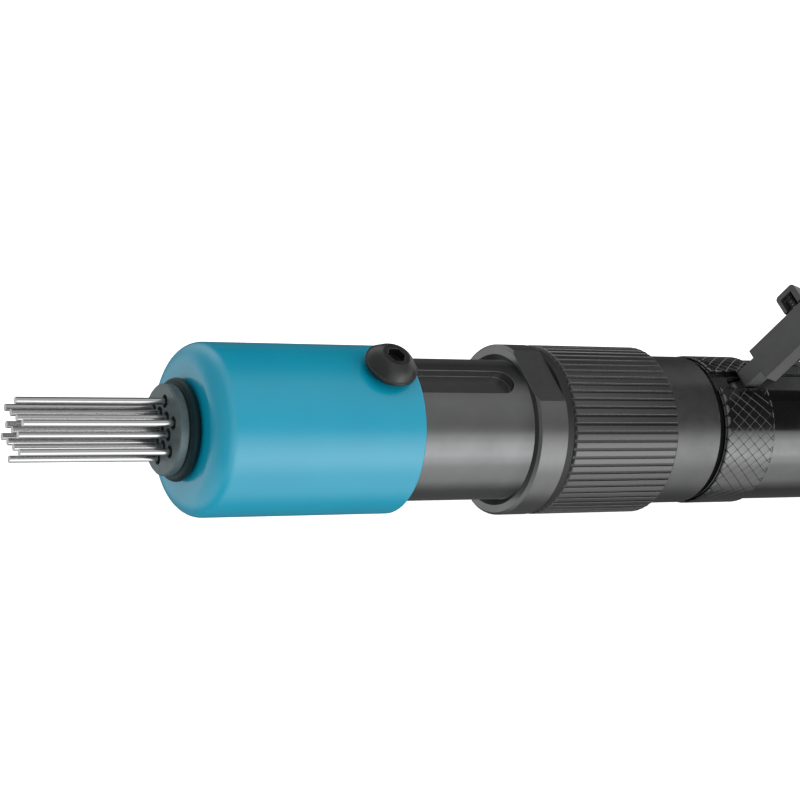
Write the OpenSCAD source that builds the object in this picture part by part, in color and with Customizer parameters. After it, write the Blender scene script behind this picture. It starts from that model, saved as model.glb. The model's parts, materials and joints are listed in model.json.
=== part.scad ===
// Inline pneumatic needle scaler, in millimetres.
// The tool axis is X: the hose end is at x = 0 and the needles point to -X. The lever is on +Z.

/* [Needles] */
// Diameter of one needle
needle_d = 2; // [1.6:0.1:2.2]
// Height of a needle's upset head above its shank
needle_head_rise = 0.7; // [0.5:0.1:0.9]
// Thickness of a needle's head
needle_head_t = 2; // [1:0.5:3]
// Spacing of the needles in their triangular pattern
needle_pitch = 4.8; // [4.6:0.1:5]
// Length of needle in front of the guide
needle_show = 43.7; // [38:0.1:46]
// Thickness of the needle holder
holder_t = 7.6; // [5:0.2:10]
// Radial clearance of a needle in the holder
needle_gap = 0.15; // [0.1:0.05:0.25]

/* [Needle guide] */
// Width of the guide's disc around its neck
guide_rim = 1.7; // [1:0.1:2.2]
// Thickness of the guide's front disc
guide_disc_t = 2.8; // [2:0.2:4]
// Radial clearance of a needle in the guide
guide_gap = 0.9; // [0.5:0.1:1]
// Wall of the guide's threaded neck around the outer needles
guide_neck_wall = 1.05; // [0.8:0.05:1.5]
// Section diameter of the rubber ring behind the guide's disc
guide_ring_d = 3.4; // [2.6:0.2:4]
// Wall of the nut inside the nozzle
guide_nut_wall = 3.2; // [2.5:0.1:4]
// Thickness of the nut inside the nozzle
guide_nut_t = 5; // [3:0.5:6]

/* [Nozzle sleeve] */
// Thickness of the sleeve's side wall
sleeve_side_t = 3.5; // [3:0.1:5]
// Length of the nozzle sleeve
sleeve_len = 65.6; // [60:0.2:70]
// Radius of the sleeve's front edge
sleeve_edge_r = 6; // [3:0.5:8]
// Thickness of the sleeve's front wall
sleeve_wall_t = 6; // [4:0.5:8]
// Distance of the sleeve screw from the sleeve's rear edge
screw_setback = 8.9; // [8.2:0.1:12]
// Diameter of the sleeve screw's shank
screw_d = 8; // [6:0.5:8.5]
// Width of the screw's flange around its shank
screw_flange_w = 4; // [3:0.25:4.5]
// Thickness of the screw's flange
screw_flange_t = 1; // [0.8:0.1:2]
// Height of the screw's round head above its flange
screw_dome_h = 3.8; // [2.8:0.1:4.5]
// Diameter of the flat on top of the screw's head
screw_flat_d = 8.4; // [7:0.2:9.4]
// Width of the shoulder under the screw's head, around its shank
screw_shoulder_w = 2.2; // [1:0.1:2.8]
// Height of that shoulder
screw_shoulder_h = 1.7; // [0.5:0.1:2.5]
// Width across the flats of the screw's socket
screw_socket_af = 5; // [4:0.5:6]
// Forward travel of the sleeve from where it is drawn
sleeve_forward = 5; // [2:1:5]
// Rearward travel of the sleeve from where it is drawn
sleeve_back = 32; // [20:1:32]

/* [Front tube] */
// Radial room of the guide's nut inside the front tube
nut_room = 1.55; // [1:0.05:2]
// Wall of the front tube
tube_wall = 5.35; // [5:0.05:6]
// Length of tube in view between the sleeve and the collar
tube_show = 38.6; // [36:0.2:44]
// Clearance of the screw at each side of the keyway
key_side_gap = 0.5; // [0.3:0.05:0.8]
// Depth of the keyway
key_depth = 3; // [2:0.2:3.6]
// Wall left between the keyway's rear end and the collar
key_end_gap = 2.7; // [1:0.1:5]
// Height of the flange that the collar clamps
tube_flange_rise = 1.25; // [1:0.05:1.5]
// Thickness of that flange
tube_flange_t = 4; // [3:0.5:5]
// Width of the spring's seat
spring_seat_w = 3.5; // [3.3:0.1:4.5]
// Thickness of the spring's seat
spring_seat_t = 5; // [3:0.5:6]

/* [Needle spring] */
// Wire diameter of the needle spring
needle_spring_wire = 2.2; // [1.6:0.2:2.4]
// Turns of the needle spring
needle_spring_turns = 7; // [5:1:9]

/* [Collar nut] */
// Wall of the collar nut around the tube's flange
collar_wall = 3.5; // [3:0.1:4.5]
// Length of the collar nut
collar_len = 51.8; // [50:0.2:54]
// Thickness of the collar's front lip
collar_lip_t = 3.8; // [3:0.2:4.6]
// Length of the wrench section
collar_flat_len = 10.2; // [8:0.2:12]
// Depth of the wrench flats
collar_flat_depth = 2.25; // [1.8:0.05:2.6]
// Width of the groove behind the wrench section
collar_groove_w = 2.6; // [1.5:0.1:4]
// Depth of that groove
collar_groove_depth = 0.9; // [0.5:0.1:1.2]
// Number of flutes
flute_count = 64; // [48:4:72]
// Width of a flute
flute_w = 0.9; // [0.6:0.1:1.2]
// Depth of a flute
flute_depth = 0.6; // [0.3:0.1:0.8]

/* [Front housing] */
// Height of the plain ring above the handle's surface
ring_rise = 0.7; // [0.4:0.1:1.2]
// Length of the plain ring
ring_len = 18.5; // [17:0.5:24]
// Wall of the housing around the barrel, inside the collar's thread
housing_wall = 5.6; // [5:0.1:6.5]
// Wall between the barrel's bore and the stub
bore_floor_t = 4.5; // [3:0.1:6]
// Wall left between the stub's socket and the lever's pocket
stub_cover = 1.2; // [0.8:0.1:2.5]
// Length of the stub
stub_len = 11.5; // [9:0.5:11.5]
// Diameter of the air way through the stub
stub_bore = 8; // [6:0.5:9]
// Width of the seal between the ring and the handle
joint_gap = 2; // [1.5:0.1:2.5]
// Depth of the seal below the plain ring
joint_seal_depth = 1.2; // [0.8:0.1:2]

/* [Hammer] */
// Thickness of the flange on the anvil bush
bush_flange_t = 4; // [3:0.5:5]
// Length of the anvil bush behind its flange
bush_len = 12; // [10:0.5:13]
// Diameter of the anvil's shank
anvil_shank_d = 16; // [14:0.5:17]
// Length of the anvil's head
anvil_head_len = 6.8; // [5:0.2:8]
// Length of the anvil's shank inside the barrel
anvil_reach = 3; // [2:0.5:5]
// Thickness of the rubber buffer behind the anvil's head
buffer_t = 5; // [3:0.5:6]
// Bore of the barrel
barrel_bore = 20; // [18.5:0.5:22]
// Length of the piston
piston_len = 16; // [12:0.5:16]
// Thickness of the valve seat
valve_seat_t = 3.5; // [3:0.1:4]
// Thickness of the valve cover
valve_cover_t = 3.5; // [2.5:0.1:4]
// Diameter of the valve flap
flap_d = 19; // [16:0.5:22]
// Thickness of the valve flap
flap_t = 0.8; // [0.5:0.1:1]

/* [Handle] */
// Diameter of the handle
handle_d = 45.6; // [45:0.1:46]
// Length of the handle
handle_len = 127.5; // [122:0.5:135]
// Height of the knurled band above the handle's surface
knurl_rise = 0.4; // [0.3:0.05:0.7]
// Length of the knurled band
knurl_len = 19.7; // [16:0.1:22]
// Radius of the handle's rear edge
handle_tail_r = 8; // [4:0.5:8.5]
// Width of the groove along the top
groove_w = 7.35; // [6.5:0.05:8.5]
// Depth of the groove along the top
groove_depth = 0.9; // [0.6:0.1:1.2]
// Length of the groove along the top
groove_len = 96; // [60:1:105]

/* [Lever] */
// Distance of the lever's pin behind the handle's front face
pin_setback = 11.9; // [11.5:0.1:14]
// Depth of the lever's pin below the handle's surface
pin_depth = 5.6; // [4.8:0.1:5.8]
// Diameter of the lever's pin
pin_d = 4; // [3:0.2:4.4]
// Depth of the pin's blind hole beyond the tool's middle
pin_blind = 9; // [6:0.5:10]
// Width of the lever
lever_w = 11.9; // [10:0.1:13]
// Thickness of the lever
lever_t = 5.3; // [4.4:0.1:6]
// Width of the tongue below the lever's shoulder
tongue_w = 5.9; // [5:0.1:6]
// Height of the tongue's foot above the pin
foot_h = 6; // [5.8:0.1:6.4]
// Width of the shank between the foot and the pin
shank_w = 3.8; // [3.2:0.1:4.2]
// Height of the shoulder above the pin, along the lever
shoulder_h = 13; // [11:0.2:15]
// Length of the steep root above the shoulder
root_len = 24; // [23:0.5:27]
// Lean of the root from upright, in degrees
lever_lean = 17.7; // [15:0.1:20]
// Inner radius of the lever's bend
bend_r = 5; // [3:0.5:8]
// Slope of the lever's arm down to the rear, in degrees
arm_slope = 11; // [8:0.5:12]
// Length of the lever's straight arm
arm_len = 62; // [50:1:66]
// Length of the lever's tail
tail_len = 14; // [8:1:16]
// Upward turn of the tail, in degrees
tail_turn = 9; // [4:1:14]
// Inner radius of that turn
tail_r = 40; // [30:1:60]

/* [Throttle valve] */
// Distance of the valve stem behind the lever's pin
stem_setback = 13; // [12.4:0.1:14]
// Diameter of the valve stem
stem_d = 4; // [3.4:0.1:4.2]
// Radius of the lever's nose above the stem
nose_r = 1.7; // [1.5:0.1:1.8]
// Diameter of the valve's head
poppet_d = 10; // [9:0.2:10.4]
// Thickness of the valve's head
poppet_t = 2.45; // [2:0.05:3]
// Diameter of the bore below the seat
valve_bore = 13; // [12.4:0.1:14]
// Diameter of the chamber above the seat
chamber_d = 9; // [8.6:0.1:9.6]
// Height of the seat's upper face above the axis
seat_z = 1; // [0:0.2:1.4]
// Height of the chamber above the seat
chamber_h = 8; // [8:0.1:8.6]
// Thickness of the valve seat ring
throttle_seat_t = 3; // [2:0.2:3.4]
// Bore of the valve seat ring
throttle_seat_bore = 6.4; // [5.6:0.2:7]
// Length of the plug below the valve
plug_len = 7.4; // [6:0.2:8]
// Width across the flats of the plug's socket
plug_socket_af = 6; // [5:0.5:8]
// Wire diameter of the valve spring
valve_spring_wire = 0.8; // [0.6:0.1:1]
// Turns of the valve spring
valve_spring_turns = 5; // [3:1:5]

/* [Safety latch] */
// Height of the latch's pin above the shoulder, along the lever
latch_pin_h = 20.35; // [19.5:0.05:21]
// Diameter of the latch's pin
latch_pin_d = 2.4; // [2.2:0.1:2.6]
// Gap between the lever's edge and the latch
latch_side_gap = 0.7; // [0.6:0.05:1]
// Width of the latch across its roof
latch_w = 6.8; // [6.4:0.1:7.4]
// Thickness of the latch's side plate
latch_plate_t = 1.8; // [1.4:0.1:2]
// Thickness of the latch's roof
latch_roof_t = 1.9; // [1.4:0.1:2.2]
// Thickness of the flange below the spring
latch_flange_t = 1.2; // [1:0.1:1.6]
// Radius of the latch's outer corners
latch_corner_r = 1.4; // [1:0.1:1.6]
// Length of the latch, up to the back of the thumb tab
latch_len = 14; // [12:0.5:18]
// Height of the thumb tab above the roof's underside
latch_tab_h = 11; // [8:0.5:14]
// Outer radius of the bend between the roof and the thumb tab
latch_bend_r = 3.4; // [2.6:0.2:5]
// Width of the latch's leg
latch_leg_w = 5.4; // [4.6:0.2:5.6]
// Lean of the latch's leg to the rear, in degrees
latch_leg_lean = 32; // [26:0.5:36]
// Wire diameter of the latch spring
latch_spring_wire = 0.6; // [0.5:0.1:0.6]
// Turns of the latch spring
latch_spring_turns = 4; // [2:1:4]

/* [Air inlet] */
// Height of the inlet bushing's flats above its spigot
hex_shoulder = 2; // [1:0.1:2.4]
// Length of the inlet bushing's hexagon
hex_len = 12.5; // [11:0.5:15]
// Thread bore of the inlet, at its tapping size
inlet_bore = 11.8; // [11:0.1:12]
// Depth of the inlet's bore
inlet_depth = 16; // [14:0.5:18]
// Wall of the inlet bushing's spigot around the thread bore
spigot_wall = 4.1; // [3.6:0.1:4.3]
// Length of the inlet bushing's spigot
spigot_len = 20; // [16:0.5:22]
// Thickness of the inlet's sealing washer
inlet_seal_t = 1.5; // [1:0.1:2]
// Thickness of the inlet screen
screen_t = 1; // [0.6:0.1:1.5]

/* [Fits] */
// Radial clearance of a part that is screwed or pushed into its seat
seat_gap = 0.05; // [0.03:0.01:0.08]
// Radial clearance of a pin or shaft that turns or slides
run_gap = 0.05; // [0.03:0.01:0.08]
// Gap between parts that move past each other
free_gap = 0.3; // [0.25:0.05:0.35]

/* [Hidden] */
$fn = 96;
eps = 0.01;

// Small allowances inside the tool
// Room left between the sleeve's wall and the tube's front end, and behind the guide's neck
stop_gap = 1;
neck_room = 4.5;
// How far the guide's neck, the needles' heads and the lever's boss stand out of their seats
neck_proud = 0.5;
head_proud = 0.5;
boss_wall = 0.7;
// Gaps at the anvil, the springs' ends, the pocket's floor and the air way
anvil_gap = 0.1;
spring_gap = 0.15;
pocket_floor_gap = 0.6;
way_gap = 0.5;
// Drop of the lever's nose below its pin, and depth of the plug below the handle's surface
nose_drop = 1.2;
plug_recess = 0.4;

// Diameters, from the needles' pattern outwards
needle_head_d = needle_d + 2 * needle_head_rise;
guide_hole_d = needle_d + 2 * guide_gap;
guide_neck_d = 2 * (needle_pitch * sqrt(3) + guide_neck_wall) + guide_hole_d;
guide_d = guide_neck_d + 2 * guide_rim;
guide_nut_d = guide_neck_d + 2 * guide_nut_wall;
tube_bore = guide_nut_d + 2 * nut_room;
tube_d = tube_bore + 2 * tube_wall;
tube_flange_d = tube_d + 2 * tube_flange_rise;
spring_seat_d = tube_bore - 2 * spring_seat_w;
sleeve_bore = tube_d + 4 * run_gap;
sleeve_d = sleeve_bore + 2 * sleeve_side_t;
screw_flange_d = screw_d + 2 * screw_flange_w;
key_w = screw_d + 2 * key_side_gap;
collar_bore_r = tube_flange_d / 2 + seat_gap;
collar_d = 2 * (collar_bore_r + collar_wall);
collar_af = collar_d - 2 * collar_flat_depth;
thread_r = collar_bore_r - seat_gap;
housing_bore = 2 * (thread_r - housing_wall);
handle_r = handle_d / 2;
knurl_d = handle_d + 2 * knurl_rise;
ring_d = handle_d + 2 * ring_rise;
spigot_d = inlet_bore + 2 * spigot_wall;
hex_af = spigot_d + 2 * hex_shoulder;

// Stations along the axis, from the hose end forwards
x_hex_front = -hex_len;
x_handle_rear = x_hex_front - inlet_seal_t;
x_handle_front = x_handle_rear - handle_len;
x_ring_rear = x_handle_front - joint_gap;
x_ring_front = x_ring_rear - ring_len;
x_collar_front = x_ring_front - collar_len;
x_sleeve_rear = x_collar_front - tube_show;
x_sleeve_front = x_sleeve_rear - sleeve_len;
x_disc_rear = x_sleeve_front - guide_ring_d;
x_guide_front = x_disc_rear - guide_disc_t;
x_tip = x_guide_front - needle_show;

// Stations inside the front end
x_flange_front = x_collar_front + collar_lip_t;
x_tube_rear = x_flange_front + tube_flange_t;
x_housing_front = x_tube_rear + bush_flange_t;
x_barrel_front = x_housing_front + bush_len;
x_bore_end = x_ring_rear - bore_floor_t;
x_cover_front = x_bore_end - valve_cover_t;
x_seat_front = x_cover_front - valve_seat_t;
barrel_len = x_seat_front - x_barrel_front;
x_anvil_shoulder = x_tube_rear - buffer_t;
x_anvil_front = x_anvil_shoulder - anvil_head_len;
x_anvil_rear = x_barrel_front + anvil_reach;
x_piston_front = x_anvil_rear + free_gap;
x_needle_rear = x_anvil_front - anvil_gap;
x_sleeve_inside = x_sleeve_front + sleeve_wall_t;
x_tube_front = x_sleeve_inside + sleeve_back + stop_gap;
x_neck_rear = x_sleeve_inside + guide_nut_t + neck_proud;
x_spring_seat_front = x_neck_rear + sleeve_back + neck_room;
x_spring_seat_rear = x_spring_seat_front + spring_seat_t;
x_screw = x_sleeve_rear - screw_setback;
x_key_front = x_screw - sleeve_forward;
x_key_rear = x_collar_front - key_end_gap - key_w / 2;
x_holder_rear = x_needle_rear - head_proud;
x_holder_front = x_holder_rear - holder_t;

// Radii of the front end
tube_r = tube_d / 2;
sleeve_r = sleeve_d / 2;
key_floor_z = tube_r - key_depth;
holder_d = tube_bore - 2 * free_gap;
guide_ring_r = guide_neck_d / 2 + seat_gap + guide_ring_d / 2;

// Lever and throttle valve
x_pin = x_handle_front + pin_setback;
x_stem = x_pin + stem_setback;
boss_r = lever_t / 2 + boss_wall;
pin_z = handle_r - pin_depth;
pocket_z = pin_z - boss_r - pocket_floor_gap;
stub_d = 2 * (pocket_z - stub_cover - seat_gap);
pocket_w = shank_w + 2 * free_gap;
pocket_margin = 2.4;
pocket_reach = 6.5;
slot_end_gap = 0.9;
nose_z = pin_z + nose_r - nose_drop;
stem_top_z = nose_z - nose_r - free_gap;
slot_top_z = nose_z + nose_r + free_gap;
seat_bottom_z = seat_z - throttle_seat_t;
poppet_bottom_z = seat_bottom_z - run_gap - poppet_t;
plug_bottom_z = -handle_d / 2 + plug_recess;
plug_top_z = plug_bottom_z + plug_len;
bend_turn = 90 - lever_lean + arm_slope;
front_way_d = 6;
rear_way_d = 7;
rear_way_z = seat_bottom_z - way_gap - rear_way_d / 2;

// Safety latch, beside the lever's far edge
latch_h = shoulder_h + latch_pin_h;
x_latch = x_pin + latch_h * sin(lever_lean);
z_latch = pin_z + latch_h * cos(lever_lean);
latch_y = lever_w / 2 + latch_side_gap;
latch_end_y = latch_y + latch_w;
latch_plate_y = latch_end_y - latch_plate_t;
latch_section_len = latch_len - latch_bend_r;
latch_leg_x = latch_section_len - lever_t / 2 - latch_leg_w / 2;
latch_foot_gap = 0.6;
latch_surface_z = sqrt(pow(handle_r, 2) - pow(latch_plate_y, 2));
latch_foot_z = latch_surface_z + latch_foot_gap + latch_leg_w / 2;
latch_leg_len = (z_latch - latch_leg_x * sin(lever_lean) - latch_foot_z) / cos(latch_leg_lean);

// The 13 needles: one, a ring of six and an outer ring of six, in a triangular pattern
needle_count = 13;
function needle_ring(i) = i == 0 ? 0 : i <= 6 ? 1 : 2;
function needle_radius(i) = [0, needle_pitch, needle_pitch * sqrt(3)][needle_ring(i)];
function needle_angle(i) = needle_ring(i) == 1 ? 60 * i : 60 * i + 30;
function needle_yz(i) = needle_radius(i) * [sin(needle_angle(i)), cos(needle_angle(i))];
function needle_name(i) = str("needle_", i < 9 ? "0" : "", i + 1);

steel = "silver";
dark_steel = "#3a3c3f";
black_steel = "#26282a";
rubber = "#1b1d1e";
teal = "#2d9bb9";
slate = "#5a6469";
brass = "#b08d45";

// A turned part from its half profile of [radius, station] points
module turned(profile) {
    rotate([0, 90, 0]) rotate_extrude() polygon(profile);
}

// A rod or bore along X
module rod_x(x0, x1, d) {
    translate([x0, 0, 0]) rotate([0, 90, 0]) cylinder(h = x1 - x0, d = d);
}

// A rod or bore along Y
module rod_y(y0, y1, d) {
    translate([0, y0, 0]) rotate([-90, 0, 0]) cylinder(h = y1 - y0, d = d);
}

// A round bar or plate that follows a side view drawn in X and Z
module side_plate(y0, y1) {
    translate([0, y1, 0]) rotate([90, 0, 0]) linear_extrude(y1 - y0) children();
}

// Points along an arc, from one angle to another
function polar(r, a) = r * [cos(a), sin(a)];
function arc(centre, r, a0, a1, steps) =
    [for (k = [0 : steps]) centre + polar(r, a0 + (a1 - a0) * k / steps)];

// A straight bar with a round end, in side view
module side_bar(reach, w) {
    translate([0, -w / 2]) square([reach, w]);
    translate([reach, 0]) circle(d = w);
}

// Wire along a path: rings of six points, with the axis as the frame's reference
wire_sides = 6;
function unit(v) = v / norm(v);
function tangent(path, i) = unit(path[min(i + 1, len(path) - 1)] - path[max(i - 1, 0)]);
function ring_at(path, i, r, axis) =
    let (t = tangent(path, i), n = unit(cross(axis, t)), b = cross(t, n))
    [for (k = [0 : wire_sides - 1]) path[i] + r * (cos(60 * k) * n + sin(60 * k) * b)];

module wire(path, d, axis) {
    last = len(path) - 1;
    rings = [for (i = [0 : last]) each ring_at(path, i, d / 2, axis)];
    function at(i, k) = i * wire_sides + k % wire_sides;
    sides = [for (i = [0 : last - 1], k = [0 : wire_sides - 1])
        each [[at(i, k), at(i, k + 1), at(i + 1, k)], [at(i + 1, k), at(i, k + 1), at(i + 1, k + 1)]]];
    caps = [for (k = [1 : wire_sides - 2])
        each [[at(0, 0), at(0, k + 1), at(0, k)], [at(last, 0), at(last, k), at(last, k + 1)]]];
    polyhedron(rings, concat(sides, caps));
}

// Least gap of a wire to itself, over points that are more than half a turn apart
function self_gap(path, d, skip) =
    min([for (i = [0 : len(path) - 1], j = [i + skip : 1 : len(path) - 1]) norm(path[i] - path[j])]) - d;

// One turn of a coil, with straight ends one wire diameter long
turn_steps = 12;
function coil(r, d, length, turns) =
    let (steps = turns * turn_steps, rise = (length - d) / turns)
    [for (k = [-1 : steps + 1])
        let (q = min(max(k, 0), steps), a = 360 * q / turn_steps, over = k - q)
        [r * cos(a) - over * d * sin(a), r * sin(a) + over * d * cos(a), d / 2 + rise * q / turn_steps]];

coil_gap = 1;
latch_coil_gap = 0.3;
latch_coil_end = 0.2;
latch_hollow_gap = 0.25;
needle_spring_r = tube_bore / 2 - needle_spring_wire / 2 - coil_gap;
needle_spring_len = x_holder_front - x_spring_seat_rear - 2 * spring_gap;
needle_coil = coil(needle_spring_r, needle_spring_wire, needle_spring_len, needle_spring_turns);

valve_spring_r = poppet_d / 2 - valve_spring_wire / 2 - coil_gap;
valve_spring_len = poppet_bottom_z - plug_top_z - 2 * spring_gap;
valve_coil = coil(valve_spring_r, valve_spring_wire, valve_spring_len, valve_spring_turns);

latch_spring_r = latch_pin_d / 2 + latch_coil_gap + latch_spring_wire / 2;
latch_spring_len = latch_plate_y - lever_w / 2 - 2 * latch_coil_end;
latch_roof_z = latch_spring_r + latch_spring_wire / 2 + latch_hollow_gap;
latch_coil = coil(latch_spring_r, latch_spring_wire, latch_spring_len, latch_spring_turns);

echo(needle_spring_gap = self_gap(needle_coil, needle_spring_wire, turn_steps / 2));
echo(valve_spring_gap = self_gap(valve_coil, valve_spring_wire, turn_steps / 2));
echo(latch_spring_gap = self_gap(latch_coil, latch_spring_wire, turn_steps / 2));

// Holes at every needle's place
module needle_holes(x0, x1, d) {
    for (i = [0 : needle_count - 1])
        translate([0, needle_yz(i)[0], needle_yz(i)[1]]) rod_x(x0, x1, d);
}

module needle(i) {
    color(steel) translate([0, needle_yz(i)[0], needle_yz(i)[1]]) {
        rod_x(x_tip, x_needle_rear - needle_head_t, needle_d);
        rod_x(x_needle_rear - needle_head_t, x_needle_rear, needle_head_d);
    }
}

module needle_holder() {
    color(dark_steel) difference() {
        rod_x(x_holder_front, x_holder_rear, holder_d);
        needle_holes(x_holder_front - 1, x_holder_rear + 1, needle_d + 2 * needle_gap);
        needle_holes(x_needle_rear - needle_head_t, x_holder_rear + 1, needle_head_d + 2 * needle_gap);
    }
}

module needle_spring() {
    color(steel) translate([x_spring_seat_rear + spring_gap, 0, 0]) rotate([0, 90, 0])
        wire(needle_coil, needle_spring_wire, [0, 0, 1]);
}

module needle_guide() {
    r = guide_d / 2;
    edge = 0.4;
    color(slate) difference() {
        union() {
            turned([[0, x_guide_front], [r - edge, x_guide_front], [r, x_guide_front + edge],
                    [r, x_disc_rear], [0, x_disc_rear]]);
            rod_x(x_disc_rear - eps, x_neck_rear, guide_neck_d);
        }
        needle_holes(x_guide_front - 1, x_neck_rear + 1, guide_hole_d);
    }
}

module guide_ring() {
    color(rubber) translate([x_disc_rear + guide_ring_d / 2, 0, 0]) rotate([0, 90, 0])
        rotate_extrude() translate([guide_ring_r, 0]) circle(d = guide_ring_d - 2 * eps, $fn = 48);
}

module guide_nut() {
    notch_w = 3;
    notch_depth = 1.5;
    x_rear = x_sleeve_inside + guide_nut_t;
    color(dark_steel) difference() {
        rod_x(x_sleeve_inside, x_rear, guide_nut_d);
        rod_x(x_sleeve_inside - 1, x_rear + 1, guide_neck_d + 2 * seat_gap);
        translate([x_rear - notch_depth, -guide_nut_d / 2 - 1, -notch_w / 2])
            cube([notch_depth + 1, guide_nut_d + 2, notch_w]);
    }
}

module nozzle_sleeve() {
    wall_x = x_sleeve_front + sleeve_edge_r;
    color(teal) difference() {
        rotate([0, 90, 0]) rotate_extrude() {
            translate([0, wall_x]) square([sleeve_r, sleeve_len - sleeve_edge_r]);
            translate([0, x_sleeve_front]) square([sleeve_r - sleeve_edge_r, sleeve_edge_r + eps]);
            translate([sleeve_r - sleeve_edge_r, wall_x]) circle(sleeve_edge_r);
        }
        rod_x(x_sleeve_inside, x_sleeve_rear + 1, sleeve_bore);
        rod_x(x_sleeve_front - 1, x_sleeve_inside + 1, guide_neck_d + 2 * seat_gap);
        translate([x_screw, 0, 0]) cylinder(h = sleeve_r + 1, d = screw_d + 2 * seat_gap);
    }
}

// The head is a slice of a ball, from its edge on the flange to the flat around its socket
module sleeve_screw() {
    edge = 0.4;
    edge_r = screw_flange_d / 2 - edge;
    flat_r = screw_flat_d / 2;
    drop = (pow(edge_r, 2) - pow(flat_r, 2) - pow(screw_dome_h, 2)) / (2 * screw_dome_h);
    ball_r = norm([edge_r, drop]);
    shoulder_z = sleeve_r + seat_gap;
    flange_z = shoulder_z + screw_shoulder_h;
    dome_z = flange_z + screw_flange_t;
    tip_z = key_floor_z + free_gap;
    socket_depth = 2.8;
    color(black_steel) translate([x_screw, 0, 0]) difference() {
        union() {
            translate([0, 0, tip_z]) cylinder(h = flange_z - tip_z, d = screw_d);
            translate([0, 0, shoulder_z])
                cylinder(h = screw_shoulder_h + eps, d = screw_d + 2 * screw_shoulder_w);
            translate([0, 0, flange_z]) cylinder(h = screw_flange_t, d = screw_flange_d);
            intersection() {
                translate([0, 0, dome_z - drop]) sphere(ball_r);
                translate([0, 0, dome_z - eps]) cylinder(h = screw_dome_h + eps, d = screw_flange_d);
            }
        }
        translate([0, 0, dome_z + screw_dome_h - socket_depth])
            cylinder(h = socket_depth + 1, d = screw_socket_af / cos(30), $fn = 6);
    }
}

module front_tube() {
    chamfer = 0.8;
    color(black_steel) difference() {
        turned([[tube_bore / 2, x_tube_front], [tube_r - chamfer, x_tube_front],
                [tube_r, x_tube_front + chamfer], [tube_r, x_flange_front],
                [tube_flange_d / 2, x_flange_front], [tube_flange_d / 2, x_tube_rear],
                [tube_bore / 2, x_tube_rear], [tube_bore / 2, x_spring_seat_rear],
                [spring_seat_d / 2, x_spring_seat_rear], [spring_seat_d / 2, x_spring_seat_front],
                [tube_bore / 2, x_spring_seat_front]]);
        translate([0, 0, key_floor_z]) linear_extrude(key_depth + 1) {
            translate([x_key_front, -key_w / 2]) square([x_key_rear - x_key_front, key_w]);
            translate([x_key_front, 0]) circle(d = key_w);
            translate([x_key_rear, 0]) circle(d = key_w);
        }
    }
}

// The straight flutes around the collar, as a cross-section
module flute_section() {
    difference() {
        circle(d = collar_d);
        for (i = [0 : flute_count - 1])
            rotate(360 * i / flute_count) translate([collar_d / 2 - flute_depth, -flute_w / 2])
                square([flute_depth + 1, flute_w]);
    }
}

module collar_nut() {
    r = collar_d / 2;
    chamfer = 0.8;
    lip_chamfer = 1.7;
    x_flat_rear = x_collar_front + collar_flat_len;
    x_flute_front = x_flat_rear + collar_groove_w;
    lip_r = tube_r + 2 * run_gap;
    color(dark_steel) difference() {
        union() {
            difference() {
                turned([[0, x_collar_front], [r - chamfer, x_collar_front], [r, x_collar_front + chamfer],
                        [r, x_flat_rear], [0, x_flat_rear]]);
                for (side = [-1, 1])
                    translate([x_collar_front - 1, -r, side > 0 ? collar_af / 2 : -collar_af / 2 - r])
                        cube([collar_flat_len + 1, 2 * r, r]);
            }
            rod_x(x_flat_rear - eps, x_flute_front + eps, collar_d - 2 * collar_groove_depth);
            intersection() {
                translate([x_flute_front, 0, 0]) rotate([0, 90, 0])
                    linear_extrude(x_ring_front - x_flute_front) flute_section();
                turned([[0, x_flute_front], [r - chamfer, x_flute_front], [r, x_flute_front + chamfer],
                        [r, x_ring_front - chamfer], [r - chamfer, x_ring_front], [0, x_ring_front]]);
            }
        }
        rod_x(x_collar_front - 1, x_flange_front + 1, 2 * lip_r);
        rod_x(x_flange_front, x_ring_front + 1, 2 * collar_bore_r);
        turned([[0, x_collar_front - eps], [lip_r + lip_chamfer, x_collar_front - eps],
                [lip_r, x_collar_front + lip_chamfer], [0, x_collar_front + lip_chamfer]]);
    }
}

module front_housing() {
    ring_r = ring_d / 2;
    edge = 0.5;
    bore_r = housing_bore / 2;
    x_stub_rear = x_ring_rear + stub_len;
    color(dark_steel)
        turned([[bore_r, x_housing_front], [thread_r, x_housing_front], [thread_r, x_ring_front],
                [ring_r - edge, x_ring_front], [ring_r, x_ring_front + edge], [ring_r, x_ring_rear - edge],
                [ring_r - edge, x_ring_rear], [stub_d / 2, x_ring_rear], [stub_d / 2, x_stub_rear],
                [stub_bore / 2, x_stub_rear], [stub_bore / 2, x_bore_end], [bore_r, x_bore_end]]);
}

module joint_seal() {
    color(rubber) difference() {
        rod_x(x_ring_rear, x_handle_front, ring_d - 2 * joint_seal_depth);
        rod_x(x_ring_rear - 1, x_handle_front + 1, stub_d + 2 * seat_gap);
    }
}

module anvil() {
    head_r = holder_d / 2;
    neck = 1.5;
    color(steel)
        turned([[0, x_anvil_front], [head_r, x_anvil_front], [head_r, x_anvil_shoulder - neck],
                [head_r - neck, x_anvil_shoulder], [anvil_shank_d / 2, x_anvil_shoulder],
                [anvil_shank_d / 2, x_anvil_rear - neck], [anvil_shank_d / 2 - neck, x_anvil_rear],
                [0, x_anvil_rear]]);
}

module anvil_buffer() {
    color(rubber) difference() {
        rod_x(x_anvil_shoulder + anvil_gap, x_tube_rear, tube_bore - 2 * free_gap);
        rod_x(x_anvil_shoulder - 1, x_tube_rear + 1, anvil_shank_d + 2 * free_gap);
    }
}

module anvil_bush() {
    color(brass) difference() {
        union() {
            rod_x(x_tube_rear, x_housing_front, 2 * thread_r);
            rod_x(x_housing_front - eps, x_barrel_front, housing_bore - 2 * seat_gap);
        }
        rod_x(x_tube_rear - 1, x_barrel_front + 1, anvil_shank_d + 2 * run_gap);
    }
}

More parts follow.
